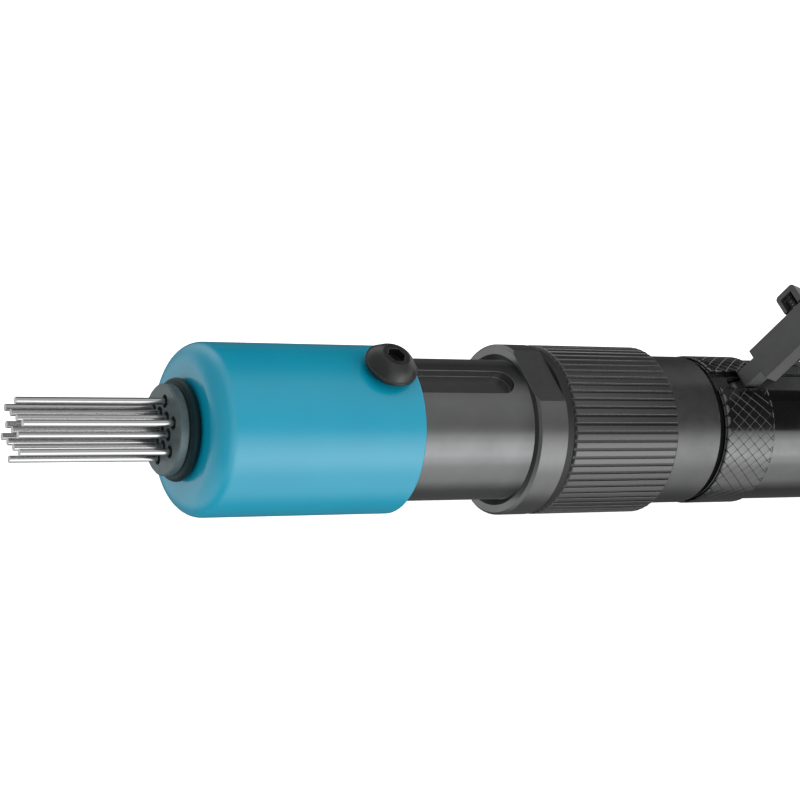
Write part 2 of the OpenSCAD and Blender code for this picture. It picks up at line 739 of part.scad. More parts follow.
module barrel() {
    port_d = 3;
    port_w = 5;
    port_depth = 1.5;
    outer = housing_bore - 2 * seat_gap;
    color(steel) difference() {
        rod_x(x_barrel_front, x_seat_front, outer);
        rod_x(x_barrel_front - 1, x_seat_front + 1, barrel_bore);
        for (side = [-1, 1]) {
            translate([x_barrel_front - 1, -port_w / 2, side > 0 ? outer / 2 - port_depth : -outer / 2 - 1])
                cube([barrel_len / 2 + 1, port_w, port_depth + 1]);
            translate([x_barrel_front + barrel_len / 3, 0, 0]) rotate([side > 0 ? 0 : 180, 0, 0])
                cylinder(h = outer, d = port_d);
        }
    }
}

module piston() {
    edge = 1;
    r = barrel_bore / 2 - run_gap;
    x_rear = x_piston_front + piston_len;
    color(steel)
        turned([[0, x_piston_front], [r - edge, x_piston_front], [r, x_piston_front + edge],
                [r, x_rear - edge], [r - edge, x_rear], [0, x_rear]]);
}

flap_room = 0.4;
port_d = 2.6;
port_inset = 3.5;
port_pitch = flap_d / 2 - port_inset;

module valve_seat() {
    x_flap_seat = x_cover_front - flap_t - flap_room;
    color(dark_steel) difference() {
        rod_x(x_seat_front, x_cover_front, housing_bore - 2 * seat_gap);
        rod_x(x_flap_seat, x_cover_front + 1, flap_d + 2 * free_gap);
        for (a = [0 : 60 : 300])
            rotate([a, 0, 0]) translate([0, 0, port_pitch]) rod_x(x_seat_front - 1, x_cover_front, port_d);
    }
}

module valve_flap() {
    x_front = x_cover_front - flap_t - flap_room / 2;
    color(steel) rod_x(x_front, x_front + flap_t, flap_d);
}

module valve_cover() {
    color(dark_steel) difference() {
        rod_x(x_cover_front, x_bore_end, housing_bore - 2 * seat_gap);
        rod_x(x_cover_front - 1, x_bore_end + 1, stub_bore);
    }
}

module handle() {
    k_r = knurl_d / 2;
    step = k_r - handle_r;
    edge = 0.8;
    x_knurl_rear = x_handle_front + knurl_len;
    x_tail = x_handle_rear - handle_tail_r;
    socket_room = 1.3;
    x_socket_end = x_ring_rear + stub_len + socket_room;
    groove_z = handle_r - groove_depth;
    x_pocket_front = x_pin - boss_r - pocket_margin;
    x_pocket_rear = x_pin + pocket_reach;
    x_slot_rear = x_stem + nose_r + slot_end_gap;
    x_spigot_end = x_handle_rear - spigot_len - 1;
    front_way_z = seat_z + chamber_h / 2;
    color(black_steel) difference() {
        rotate([0, 90, 0]) rotate_extrude() {
            polygon([[0, x_handle_front], [k_r - edge, x_handle_front], [k_r, x_handle_front + edge],
                     [k_r, x_knurl_rear - step], [handle_r, x_knurl_rear], [handle_r, x_tail], [0, x_tail]]);
            translate([0, x_tail - eps]) square([handle_r - handle_tail_r, handle_tail_r + eps]);
            translate([handle_r - handle_tail_r, x_tail]) circle(handle_tail_r);
        }
        rod_x(x_handle_front - 1, x_socket_end, stub_d + 2 * seat_gap);
        translate([x_handle_front - 1, -groove_w / 2, groove_z]) cube([groove_len + 1, groove_w, knurl_d]);
        translate([0, 0, pocket_z]) linear_extrude(knurl_d) {
            translate([x_pocket_front + pocket_w / 2, -pocket_w / 2])
                square([x_pocket_rear - x_pocket_front - pocket_w, pocket_w]);
            translate([x_pocket_front + pocket_w / 2, 0]) circle(d = pocket_w);
            translate([x_pocket_rear - pocket_w / 2, 0]) circle(d = pocket_w);
        }
        translate([x_pin, -pocket_w / 2, pocket_z])
            cube([x_slot_rear - x_pin, pocket_w, slot_top_z - pocket_z]);
        translate([x_pin, 0, pin_z]) rod_y(-pin_blind, knurl_d, pin_d + 2 * seat_gap);
        translate([x_stem, 0, 0]) {
            translate([0, 0, -knurl_d]) cylinder(h = knurl_d + seat_z, d = valve_bore);
            cylinder(h = seat_z + chamber_h, d = chamber_d);
            cylinder(h = pocket_z + 1, d = stem_d + 2 * run_gap);
        }
        translate([0, 0, front_way_z]) rod_x(x_socket_end - 1, x_stem, front_way_d);
        translate([0, 0, rear_way_z]) rod_x(x_stem, x_spigot_end + 1, rear_way_d);
        rod_x(x_spigot_end, x_handle_rear + 1, spigot_d);
    }
}

// Side view of the lever, with its pin at the origin and its root upright: one bar with two bends
bend_steps = 24;
tail_steps = 6;
end_steps = 16;
module lever_side() {
    top_r = bend_r + lever_t;
    arm_side = 180 - bend_turn;
    tail_side = arm_side + tail_turn;
    bend_c = [lever_t / 2 + bend_r, shoulder_h + root_len];
    tail_c = bend_c + polar(top_r + tail_r, arm_side) + polar(arm_len, arm_side - 90);
    end_c = tail_c - polar(tail_r + lever_t / 2, tail_side) + polar(tail_len, tail_side - 90);
    rotate(-lever_lean) polygon(concat(
        [[-lever_t / 2, shoulder_h]],
        arc(bend_c, top_r, 180, arm_side, bend_steps),
        arc(tail_c, -tail_r, arm_side, tail_side, tail_steps),
        arc(end_c, lever_t / 2, tail_side, tail_side - 180, end_steps),
        arc(tail_c, -tail_r - lever_t, tail_side, arm_side, tail_steps),
        arc(bend_c, bend_r, arm_side, 180, bend_steps),
        [[lever_t / 2, shoulder_h]]));
}

// Side view of the tongue, down to its level foot
function foot_at(x) = (foot_h + x * sin(lever_lean)) / cos(lever_lean);
module tongue_side() {
    half = lever_t / 2;
    rotate(-lever_lean) polygon([[-half, foot_at(-half)], [-half, shoulder_h + eps],
                                 [half, shoulder_h + eps], [half, foot_at(half)]]);
}

// Side view of the shank, with the boss on the pin and the nose above the stem
shank_t = 3.4;
module shank_side() {
    circle(boss_r);
    rotate(-lever_lean) translate([lever_t / 2 - shank_t, 0]) square([shank_t, shoulder_h]);
    translate([0, nose_z - pin_z - nose_r]) square([stem_setback, 2 * nose_r]);
    translate([stem_setback, nose_z - pin_z]) circle(nose_r);
}

module throttle_lever() {
    color(dark_steel) translate([x_pin, 0, pin_z]) difference() {
        union() {
            side_plate(-lever_w / 2, lever_w / 2) lever_side();
            side_plate(-tongue_w / 2, tongue_w / 2) tongue_side();
            side_plate(-shank_w / 2, shank_w / 2) shank_side();
        }
        rod_y(-lever_w, lever_w, pin_d + 2 * run_gap);
        translate([x_latch - x_pin, 0, z_latch - pin_z]) rod_y(-lever_w, lever_w, latch_pin_d + 2 * seat_gap);
    }
}

module lever_pin() {
    reach = sqrt(pow(handle_r, 2) - pow(pin_z + pin_d / 2, 2));
    color(steel) translate([x_pin, 0, pin_z]) rod_y(free_gap - pin_blind, reach, pin_d);
}

// Cross-section of the latch, in Y and along the lever: a channel around its pin, open to the lever
latch_steps = 8;
module latch_section() {
    top = latch_roof_z + latch_roof_t;
    low = -latch_roof_z - latch_flange_t;
    corner_y = latch_end_y - latch_corner_r;
    polygon(concat(
        [[latch_y, top]],
        arc([corner_y, top - latch_corner_r], latch_corner_r, 90, 0, latch_steps),
        arc([corner_y, low + latch_corner_r], latch_corner_r, 0, -90, latch_steps),
        [[latch_y, low], [latch_y, -latch_roof_z], [latch_plate_y, -latch_roof_z]],
        [[latch_plate_y, latch_roof_z], [latch_y, latch_roof_z]]));
}

// Side view of the thumb tab, which the latch's roof turns up into
module latch_tab_side() {
    rear = latch_len - lever_t / 2;
    top = latch_roof_z + latch_tab_h;
    bend_c = [rear - latch_bend_r, latch_roof_z + latch_bend_r];
    root_x = bend_c[0] - latch_roof_t;
    polygon(concat(
        [[root_x, latch_roof_z]],
        arc(bend_c, latch_bend_r, 270, 360, latch_steps),
        [[rear, top], [rear - latch_roof_t, top]],
        arc(bend_c, latch_bend_r - latch_roof_t, 360, 270, latch_steps),
        [[root_x, latch_roof_z + latch_roof_t]]));
}

// Side view of the leg, from the plate's rear down to the handle
module latch_leg_side() {
    translate([latch_leg_x, 0]) rotate(lever_lean + latch_leg_lean - 90) side_bar(latch_leg_len, latch_leg_w);
}

module safety_latch() {
    color(black_steel) translate([x_latch, 0, z_latch]) rotate([0, lever_lean, 0]) difference() {
        union() {
            translate([-lever_t / 2, 0, 0]) rotate([90, 0, 90])
                linear_extrude(latch_section_len) latch_section();
            side_plate(latch_y, latch_end_y - latch_corner_r) latch_tab_side();
            side_plate(latch_plate_y, latch_end_y) latch_leg_side();
        }
        rod_y(latch_y, latch_end_y + 1, latch_pin_d + 2 * run_gap);
    }
}

module latch_pin() {
    head_rise = 1.2;
    head_t = 1.2;
    color(steel) translate([x_latch, 0, z_latch]) {
        rod_y(-lever_w / 2 - eps, latch_end_y, latch_pin_d);
        rod_y(-lever_w / 2 - head_t, -lever_w / 2, latch_pin_d + 2 * head_rise);
    }
}

module latch_spring() {
    color(black_steel) translate([x_latch, lever_w / 2 + latch_coil_end, z_latch]) rotate([-90, 0, 0])
        wire(latch_coil, latch_spring_wire, [0, 0, 1]);
}

module throttle_valve() {
    color(brass) translate([x_stem, 0, 0]) {
        translate([0, 0, poppet_bottom_z]) cylinder(h = poppet_t, d = poppet_d);
        translate([0, 0, poppet_bottom_z + poppet_t - eps])
            cylinder(h = stem_top_z - poppet_bottom_z - poppet_t + eps, d = stem_d);
    }
}

module throttle_seat() {
    color(brass) translate([x_stem, 0, seat_bottom_z]) difference() {
        cylinder(h = throttle_seat_t, d = valve_bore - 2 * seat_gap);
        translate([0, 0, -1]) cylinder(h = throttle_seat_t + 2, d = throttle_seat_bore);
    }
}

module stem_seal() {
    seal_t = 2;
    color(rubber) translate([x_stem, 0, seat_z + chamber_h - seal_t]) difference() {
        cylinder(h = seal_t, d = chamber_d - 2 * seat_gap);
        translate([0, 0, -1]) cylinder(h = seal_t + 2, d = stem_d + 2 * run_gap);
    }
}

module throttle_spring() {
    color(steel) translate([x_stem, 0, plug_top_z + spring_gap])
        wire(valve_coil, valve_spring_wire, [0, 0, 1]);
}

module throttle_plug() {
    socket_depth = 3;
    color(dark_steel) translate([x_stem, 0, plug_bottom_z]) difference() {
        cylinder(h = plug_len, d = valve_bore - 2 * seat_gap);
        translate([0, 0, -1]) cylinder(h = socket_depth + 1, d = plug_socket_af / cos(30), $fn = 6);
    }
}

module inlet_bushing() {
    corner_r = hex_af / 2 / cos(30);
    bevel = 1;
    x_spigot_front = x_handle_rear - spigot_len;
    x_shelf = -inlet_depth;
    color(steel) difference() {
        union() {
            intersection() {
                translate([x_hex_front, 0, 0]) rotate([0, 90, 0])
                    cylinder(h = hex_len, r = corner_r, $fn = 6);
                turned([[0, x_hex_front], [corner_r, x_hex_front], [corner_r, -bevel],
                        [corner_r - 2 * bevel, 0], [0, 0]]);
            }
            rod_x(x_spigot_front, x_hex_front + eps, spigot_d - 2 * seat_gap);
        }
        rod_x(x_shelf, 1, inlet_bore);
        rod_x(x_spigot_front - 1, x_shelf + 1, stub_bore);
    }
}

inlet_seal_rise = 1;
module inlet_seal() {
    color(rubber) difference() {
        rod_x(x_handle_rear, x_hex_front, hex_af + 2 * inlet_seal_rise);
        rod_x(x_handle_rear - 1, x_hex_front + 1, spigot_d + 2 * seat_gap);
    }
}

module inlet_screen() {
    mesh_d = 1;
    mesh_pitch = 1.5;
    x_front = -inlet_depth - screen_t;
    color(steel) difference() {
        rod_x(x_front, -inlet_depth, stub_bore - 2 * seat_gap);
        for (i = [-2 : 2], j = [-2 : 2])
            if (abs(i) + abs(j) < 3)
                translate([0, i * mesh_pitch, j * mesh_pitch]) rod_x(x_front - 1, -inlet_depth + 1, mesh_d);
    }
}

for (i = [0 : needle_count - 1]) needle(i);
needle_holder();
needle_spring();
needle_guide();
guide_ring();
guide_nut();
nozzle_sleeve();
sleeve_screw();
front_tube();
collar_nut();
front_housing();
joint_seal();
anvil();
anvil_buffer();
anvil_bush();
barrel();
piston();
valve_seat();
valve_flap();
valve_cover();
handle();
throttle_lever();
lever_pin();
safety_latch();
latch_pin();
latch_spring();
throttle_valve();
throttle_seat();
stem_seal();
throttle_spring();
throttle_plug();
inlet_bushing();
inlet_seal();
inlet_screen();
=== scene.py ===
import json
import math

import bmesh
import bpy
from mathutils import Matrix, Vector


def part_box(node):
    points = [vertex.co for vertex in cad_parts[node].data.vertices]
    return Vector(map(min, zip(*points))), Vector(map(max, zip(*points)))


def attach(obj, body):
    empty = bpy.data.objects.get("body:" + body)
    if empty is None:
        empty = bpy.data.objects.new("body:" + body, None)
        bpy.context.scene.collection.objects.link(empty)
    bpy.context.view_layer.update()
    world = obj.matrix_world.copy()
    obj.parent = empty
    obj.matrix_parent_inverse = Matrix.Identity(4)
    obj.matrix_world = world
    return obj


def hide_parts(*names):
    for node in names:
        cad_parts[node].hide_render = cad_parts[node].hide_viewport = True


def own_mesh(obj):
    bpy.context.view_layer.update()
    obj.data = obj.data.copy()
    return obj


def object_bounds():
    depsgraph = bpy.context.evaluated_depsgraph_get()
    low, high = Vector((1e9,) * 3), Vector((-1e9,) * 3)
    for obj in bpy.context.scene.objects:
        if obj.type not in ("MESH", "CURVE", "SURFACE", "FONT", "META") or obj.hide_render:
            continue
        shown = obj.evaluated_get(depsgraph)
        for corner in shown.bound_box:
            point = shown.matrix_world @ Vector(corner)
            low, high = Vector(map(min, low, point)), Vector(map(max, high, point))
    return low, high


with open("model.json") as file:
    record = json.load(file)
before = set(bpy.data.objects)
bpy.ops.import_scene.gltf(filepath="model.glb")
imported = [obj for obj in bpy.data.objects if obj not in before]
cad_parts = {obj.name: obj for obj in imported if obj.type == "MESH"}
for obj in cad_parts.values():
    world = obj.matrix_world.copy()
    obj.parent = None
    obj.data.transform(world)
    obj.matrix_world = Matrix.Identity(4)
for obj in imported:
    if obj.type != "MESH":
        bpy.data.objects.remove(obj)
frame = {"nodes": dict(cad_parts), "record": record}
cad_low, cad_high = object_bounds()
NODES = frame["nodes"]
RECORD = frame["record"]
SLOT_OF = {part["node"]: part["material_slot"] for part in RECORD["subparts"]}
BODY_OF = {node: body for body, members in RECORD["behaviour"]["bodies"].items() for node in members}
MM = 0.001

# Camera, fitted to the photograph's edges. The image is square.
IMAGE_PX = 800
FOCAL_PX = 2105.4
SENSOR_MM = 36.0
CAMERA_AT = Vector((-563.7, -368.9, 398.6)) * MM
CAMERA_FORWARD = Vector((0.50402, 0.59687, -0.62426))
CAMERA_UP = Vector((-0.00644, 0.72536, 0.68834))
CAMERA_CLIP = (0.01, 100)

# Finishes
GRAIN = 0.02 * MM               # depth of the fine grain
SHARP = 0.1 * MM                # half the width of the line between two finishes on one piece
WORN_LEVEL = 0.42               # grey of a dark metal's worn edges
BEVEL_SAMPLES = 4
EDGE_TURN = (0.80, 0.99)        # cosines of the turn at an edge that count as the edge and as the face
NOISE_RANGE = (0.3, 0.7)        # where most of a noise texture's values lie
# Nodes with a finish other than their slot's
OWN_FINISH = {"collar_nut": "collar_black", "joint_seal": "seal_black"}
# Nodes that reflections leave out, so that the tube beside the collar mirrors the studio
UNREFLECTED = ("collar_nut", "anvil_bush")

# Sizes read from the nodes' meshes: radii that differ by less than this are one surface's
MATCH = 0.05 * MM

# Collar
COLLAR_GROOVE_DEPTH = 0.9 * MM  # from the collar's rim down to its groove
FLUTE_ROUND = 0.3 * MM          # rounding of the flutes' edges
FLUTE_SHADE_TOP = 0.3 * MM            # from the rim down to where the painted shade between the flutes begins

# Knurl on the handle's front band
KNURL_COUNT = 40                # diamonds around the band
KNURL_PITCH = 4.4 * MM          # from one diamond to the next along the axis
KNURL_DEPTH = 0.10 * MM
KNURL_TOP = 0.84                # size of a diamond's flat top, as a share of the diamond
KNURL_CELLS = 3                 # faces along a side of the top, which follows the band's curve
KNURL_EDGE = 0.3 * MM           # plain rim at either end of the band; the front one, with the grip's front face, is painted near-black as shade
KNURL_SHELL = 0.6 * MM          # thickness of the piece
KNURL_BED = 0.05 * MM           # from the grooves down to the handle below them
KNURL_INSET = 0.03 * MM         # from the channel's side to the diamonds

# Springs
SPRING_STEPS = 32               # points to a turn
WIRE_ROUNDING = 4
NEEDLE_SPRING = {"wire": 2.2 * MM, "turns": 7}
THROTTLE_SPRING = {"wire": 0.8 * MM, "turns": 5}
LATCH_SPRING = {"wire": 0.6 * MM, "turns": 4, "leg": 0.6 * MM}

# Studio light, as the brightness seen around the tool's axis: angle above the near horizon, in degrees.
# KEY lights the camera's side, from obliquely behind the tool, and FILL the rest from both sides.
SKY_KEY = ((-180, 0.06), (-100, 0.1), (-70, 0.15), (-56, 0.5), (-45, 1.0), (-14, 1.4), (-7, 2.0), (6, 2.3),
           (22, 1.9), (36, 1.5), (44, 0.7), (54, 0.5), (90, 0.65), (110, 0.58),
           (122, 0.38), (132, 0.14), (150, 0.06), (180, 0.02))
SKY_FILL = ((-180, 0.9), (-150, 0.3), (-90, 0.15), (-30, 0.3), (0, 0.9), (25, 1.3), (50, 0.8), (90, 0.9),
            (130, 0.8), (155, 1.3), (180, 0.9))
# FRONT lights the needles' end by height alone: HIGH above the first height and LOW below the second.
SKY_FRONT_HIGH = 0.4
SKY_FRONT_LOW = 1.0
SKY_FRONT_HEIGHTS = (0.0, -0.6)
# Stretches along the axis where one light gives way to the next, from -1 ahead of the needles to 1 behind
# the inlet. Like the heights, they are parts of a direction whose length is 1.
FRONT_TO_FILL = (-0.45, -0.15)
FILL_TO_KEY = (0.10, 0.32)
KEY_TO_FILL = (0.65, 0.71)
LAMP_AT = Vector((0.9, -1.7, 0.45))
LAMP_SIZE = (2.0, 0.8)
LAMP_GLOW = 0.35

# Stage
STAGE_RADIUS = 7.0
STAGE_GRAIN = 0.05 * MM
FLOOR_SEGMENTS = 96
FLOOR_GLOW = 1.0
DOME_SEGMENTS = (64, 32)
DOME_GLOW = 0.95
CARD_HEIGHT = 240 * MM
CARD_LEAN = 0.62                # part of the way from the grip to the card that runs along the axis
CARD_STATIONS = (-250 * MM, -85 * MM)
CARD_ANGLES = (45, 120)         # about the axis from the near horizon, in degrees

# Places of a Mix node's first input, second input and result, by the kind of value
MIX_SOCKETS = {"FLOAT": (2, 3, 0), "VECTOR": (4, 5, 1), "RGBA": (6, 7, 2)}


class Nodes:
    """A node tree, with short calls for the nodes that the finishes and the light share."""

    def __init__(self, owner):
        owner.use_nodes = True
        self.tree = owner.node_tree

    def add(self, kind, **settings):
        node = self.tree.nodes.new(kind)
        for name, value in settings.items():
            setattr(node, name, value)
        return node

    def feed(self, socket, value):
        """Links another node's output to the socket, or sets a plain value on it."""
        if isinstance(value, bpy.types.NodeSocket):
            self.tree.links.new(value, socket)
        else:
            socket.default_value = value

    def compute(self, kind, operation, *values):
        """The outputs of a maths node."""
        node = self.add(kind, operation=operation)
        for socket, value in zip(node.inputs, values):
            self.feed(socket, value)
        return node.outputs

    def axes(self, vector):
        """The vector's X, Y and Z."""
        node = self.add("ShaderNodeSeparateXYZ")
        self.feed(node.inputs["Vector"], vector)
        return node.outputs

    def span(self, value, low, high, start, end):
        """Maps value from start..end to low..high."""
        node = self.add("ShaderNodeMapRange")
        self.feed(node.inputs["Value"], value)
        for name, number in (("From Min", start), ("From Max", end), ("To Min", low), ("To Max", high)):
            node.inputs[name].default_value = number
        return node.outputs["Result"]

    def mix(self, factor, first, second, kind="RGBA"):
        """The first value where the factor is 0, and the second where it is 1."""
        node = self.add("ShaderNodeMix", data_type=kind)
        first_at, second_at, result_at = MIX_SOCKETS[kind]
        self.feed(node.inputs[0], factor)
        self.feed(node.inputs[first_at], first)
        self.feed(node.inputs[second_at], second)
        return node.outputs[result_at]


class Finish(Nodes):
    """A material, with short calls for what the finishes share."""

    def __init__(self, name):
        self.material = bpy.data.materials.new(name)
        super().__init__(self.material)
        self.surface = self.tree.nodes["Principled BSDF"]
        self.coords = self.add("ShaderNodeTexCoord").outputs["Object"]

    def fixed(self, **values):
        """Sets what is the same all over on the shader's own sockets."""
        for name, value in values.items():
            self.surface.inputs[name.replace("_", " ")].default_value = value

    def noise(self, per_mm, detail=3.0, stretch=(1, 1, 1)):
        """Noise of about per_mm features to the millimetre, drawn out along an axis by stretch."""
        scaled = self.add("ShaderNodeMapping")
        self.feed(scaled.inputs["Vector"], self.coords)
        scaled.inputs["Scale"].default_value = [per_mm / MM / s for s in stretch]
        noise = self.add("ShaderNodeTexNoise")
        self.feed(noise.inputs["Vector"], scaled.outputs["Vector"])
        noise.inputs["Scale"].default_value = 1.0
        noise.inputs["Detail"].default_value = detail
        return noise.outputs["Fac"]

    def vary(self, noise, low, high):
        """A value that goes from low to high with the noise."""
        return self.span(noise, low, high, *NOISE_RANGE)

    def mottle(self, noise, first, second):
        """A tone that goes from one colour to another with the noise."""
        return self.mix(self.vary(noise, 0.0, 1.0), first, second)

    def round_edges(self, radius):
        node = self.add("ShaderNodeBevel", samples=BEVEL_SAMPLES)
        node.inputs["Radius"].default_value = radius
        return node.outputs["Normal"]

    def edge_mask(self, radius):
        """1 along the edges and 0 on the faces."""
        flat = self.add("ShaderNodeNewGeometry").outputs["Normal"]
        turn = self.compute("ShaderNodeVectorMath", "DOT_PRODUCT", self.round_edges(radius), flat)
        return self.span(turn["Value"], 1.0, 0.0, *EDGE_TURN)

    def worn(self, tone, radius, wear, bare):
        """The tone, with its edges going over to the bare colour by the share of wear."""
        return self.mix(self.span(self.edge_mask(radius), 0.0, wear, 0.0, 1.0), tone, bare)

    def bump(self, height, strength, normal=None, depth=GRAIN):
        node = self.add("ShaderNodeBump")
        self.feed(node.inputs["Height"], height)
        node.inputs["Strength"].default_value = strength
        node.inputs["Distance"].default_value = depth
        if normal is not None:
            self.feed(node.inputs["Normal"], normal)
        return node.outputs["Normal"]

    def finish(self, color, roughness, normal):
        self.feed(self.surface.inputs["Base Color"], color)
        self.feed(self.surface.inputs["Roughness"], roughness)
        self.feed(self.surface.inputs["Normal"], normal)
        return self.material


def grey(level, warm=0.0):
    return (level * (1 + warm), level, level * (1 - warm), 1.0)


def teal_paint():
    f = Finish("teal_paint")
    f.fixed(IOR=1.65)
    corner = 0.5 * MM
    tone = f.mottle(f.noise(0.05), (0.002, 0.385, 0.58, 1), (0.004, 0.41, 0.61, 1))
    worn = f.worn(tone, corner, wear=0.2, bare=(0.12, 0.50, 0.64, 1))
    peel = f.bump(f.noise(0.7, detail=1.0), strength=0.015, normal=f.round_edges(corner))
    return f.finish(worn, f.vary(f.noise(0.3), 0.20, 0.24), peel)


def needle_steel():
    f = Finish("needle_steel")
    f.fixed(Metallic=1.0)
    drawn = f.noise(1.5, detail=2.0, stretch=(60, 1, 1))
    tone = f.mottle(drawn, grey(0.56, warm=-0.01), grey(0.62, warm=0.005))
    lines = f.bump(drawn, strength=0.003, normal=f.round_edges(0.15 * MM))
    return f.finish(tone, f.vary(drawn, 0.18, 0.22), lines)


def guide_slate():
    f = Finish("guide_slate")
    f.fixed(Metallic=0.4)
    corner = 0.3 * MM
    tone = f.mottle(f.noise(0.4), (0.090, 0.130, 0.138, 1), (0.116, 0.158, 0.168, 1))
    worn = f.worn(tone, corner, wear=0.4, bare=(0.26, 0.30, 0.31, 1))
    grain = f.bump(f.noise(4.0), strength=0.06, normal=f.round_edges(corner))
    return f.finish(worn, f.vary(f.noise(0.8), 0.30, 0.40), grain)


def rubber():
    f = Finish("rubber")
    f.fixed(Specular_IOR_Level=0.22, Specular_Tint=(0.5, 0.9, 1.0, 1))
    tone = f.mottle(f.noise(0.6), (0.006, 0.016, 0.019, 1), (0.009, 0.021, 0.025, 1))
    grain = f.bump(f.noise(6.0, detail=5.0), strength=0.10, normal=f.round_edges(0.2 * MM))
    return f.finish(tone, f.vary(f.noise(1.5), 0.34, 0.44), grain)


def seal_black():
    f = Finish("seal_black")
    f.fixed(Specular_IOR_Level=0.1)
    tone = f.mottle(f.noise(0.6), grey(0.003), grey(0.006))
    grain = f.bump(f.noise(6.0, detail=5.0), strength=0.20, normal=f.round_edges(0.2 * MM))
    return f.finish(tone, f.vary(f.noise(1.5), 0.60, 0.75), grain)


def machined_steel():
    f = Finish("machined_steel")
    f.fixed(Metallic=1.0)
    turned = f.noise(5.0, stretch=(1, 40, 40))
    tone = f.mottle(f.noise(0.2), grey(0.42), grey(0.52))
    lines = f.bump(turned, strength=0.15, normal=f.round_edges(0.3 * MM))
    return f.finish(tone, f.vary(turned, 0.24, 0.36), lines)


def bronze():
    f = Finish("bronze")
    f.fixed(Metallic=1.0)
    turned = f.noise(5.0, stretch=(1, 40, 40))
    tone = f.mottle(f.noise(0.3), (0.45, 0.30, 0.12, 1), (0.58, 0.41, 0.19, 1))
    lines = f.bump(turned, strength=0.12, normal=f.round_edges(0.2 * MM))
    return f.finish(tone, f.vary(f.noise(1.0), 0.26, 0.38), lines)


class DarkMetal(Finish):
    """Blackened metal: a dark base with mottled tone, fine grain and slightly worn edges."""

    def __init__(self, name, levels, roughness, grain_per_mm, grain, wear=0.15, corner=0.35 * MM,
                 metallic=0.8):
        super().__init__(name)
        self.fixed(Metallic=metallic)
        dark, light = levels
        tone = self.mottle(self.noise(0.12, detail=4.0), grey(dark, warm=-0.01), grey(light, warm=-0.01))
        self.tone = self.worn(tone, corner, wear, grey(WORN_LEVEL))
        self.roughness = self.vary(self.noise(0.5, detail=4.0), *roughness)
        self.normal = self.bump(self.noise(grain_per_mm), grain, self.round_edges(corner))

    def beyond(self, station):
        """1 behind a station along the tool's axis, and 0 ahead of it."""
        return self.span(self.axes(self.coords)["X"], 0.0, 1.0, station - SHARP, station + SHARP)

    def within(self, radius):
        """1 inside a radius about the tool's axis, and 0 outside it."""
        across = self.compute("ShaderNodeVectorMath", "MULTIPLY", self.coords, (0, 1, 1))["Vector"]
        size = self.compute("ShaderNodeVectorMath", "LENGTH", across)["Value"]
        return self.span(size, 1.0, 0.0, radius - SHARP, radius + SHARP)

    def patch(self, mask, tone, roughness):
        """Gives the masked stretch its own tone and roughness."""
        self.tone = self.mix(mask, self.tone, tone)
        self.roughness = self.mix(mask, self.roughness, roughness, "FLOAT")

    def done(self):
        return self.finish(self.tone, self.roughness, self.normal)


def gloss_black_steel():
    f = DarkMetal("gloss_black_steel", levels=(0.155, 0.175), roughness=(0.15, 0.19), grain_per_mm=1.5,
                  grain=0.03)
    return f.done()


def satin_black_steel():
    f = DarkMetal("satin_black_steel", levels=(0.125, 0.145), roughness=(0.31, 0.37), grain_per_mm=5.0,
                  grain=0.08, metallic=0.97)
    return f.done()


def lever_steel():
    f = DarkMetal("lever_steel", levels=(0.124, 0.144), roughness=(0.38, 0.46), grain_per_mm=4.0,
                  grain=0.12)
    return f.done()


def screw_black():
    f = DarkMetal("screw_black", levels=(0.048, 0.062), roughness=(0.30, 0.38), grain_per_mm=4.0,
                  grain=0.10)
    return f.done()


def grip_black(name, roughness, corner):
    """The grip's finish, with its front rim painted near-black and dull as the shade in the joint's gap.
    """
    f = DarkMetal(name, levels=(0.125, 0.14), roughness=roughness, grain_per_mm=1.2,
                  grain=0.03, wear=0.0, corner=corner, metallic=0.97)
    grip_tone, grip_roughness = f.tone, f.roughness
    # Painted shade: ahead of the band's front rim, the grip is near-black and dull, like the shadowed gap
    # at the joint.
    f.tone = grey(0.004)
    f.roughness = 0.6
    f.patch(f.beyond(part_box("handle")[0].x + KNURL_EDGE), grip_tone, grip_roughness)
    return f.done()


def handle_black():
    return grip_black("handle_black", roughness=(0.11, 0.15), corner=0.08 * MM)


def knurl_black():
    return grip_black("knurl_black", roughness=(0.14, 0.18), corner=0.03 * MM)


def radius_of(point):
    """A point's distance from the tool's axis."""
    return math.hypot(point.y, point.z)


def rim_radius(mesh):
    return max(radius_of(v.co) for v in mesh.vertices)


def groove_ends(mesh):
    """Stations where the collar's groove begins and ends."""
    floor_radius = rim_radius(mesh) - COLLAR_GROOVE_DEPTH
    floor = [v.co.x for v in mesh.vertices if abs(radius_of(v.co) - floor_radius) < MATCH]
    return min(floor), max(floor)


def collar_black():
    """The collar's finish, with painted shade: dark and dull in the turned groove ahead of its flutes, and
    dark between them.
    """
    f = DarkMetal("collar_black", levels=(0.145, 0.165), roughness=(0.20, 0.25), grain_per_mm=3.0,
                  grain=0.05, wear=0.25, corner=0.2 * MM)
    mesh = NODES["collar_nut"].data
    groove_front, groove_rear = groove_ends(mesh)
    # Painted shade: from the groove's front wall back, a dark, dull tone. The flutes get their own below.
    f.patch(f.beyond(groove_front - 2 * SHARP), tone=grey(0.05), roughness=0.5)
    flutes = f.beyond(groove_rear)
    # Painted shade between the flutes: below this depth from the rim, their walls and valleys are darker
    # than the ridges.
    tone = f.mix(f.within(rim_radius(mesh) - FLUTE_SHADE_TOP), grey(0.125), grey(0.045))
    worn = f.worn(tone, FLUTE_ROUND, wear=0.25, bare=grey(WORN_LEVEL))
    f.patch(flutes, tone=worn, roughness=0.26)
    f.normal = f.mix(flutes, f.normal, f.round_edges(FLUTE_ROUND), "VECTOR")
    return f.done()


FINISHES = {maker.__name__: maker() for maker in (
    teal_paint, needle_steel, guide_slate, rubber, seal_black, machined_steel, bronze, gloss_black_steel,
    satin_black_steel, lever_steel, screw_black, handle_black, knurl_black, collar_black)}


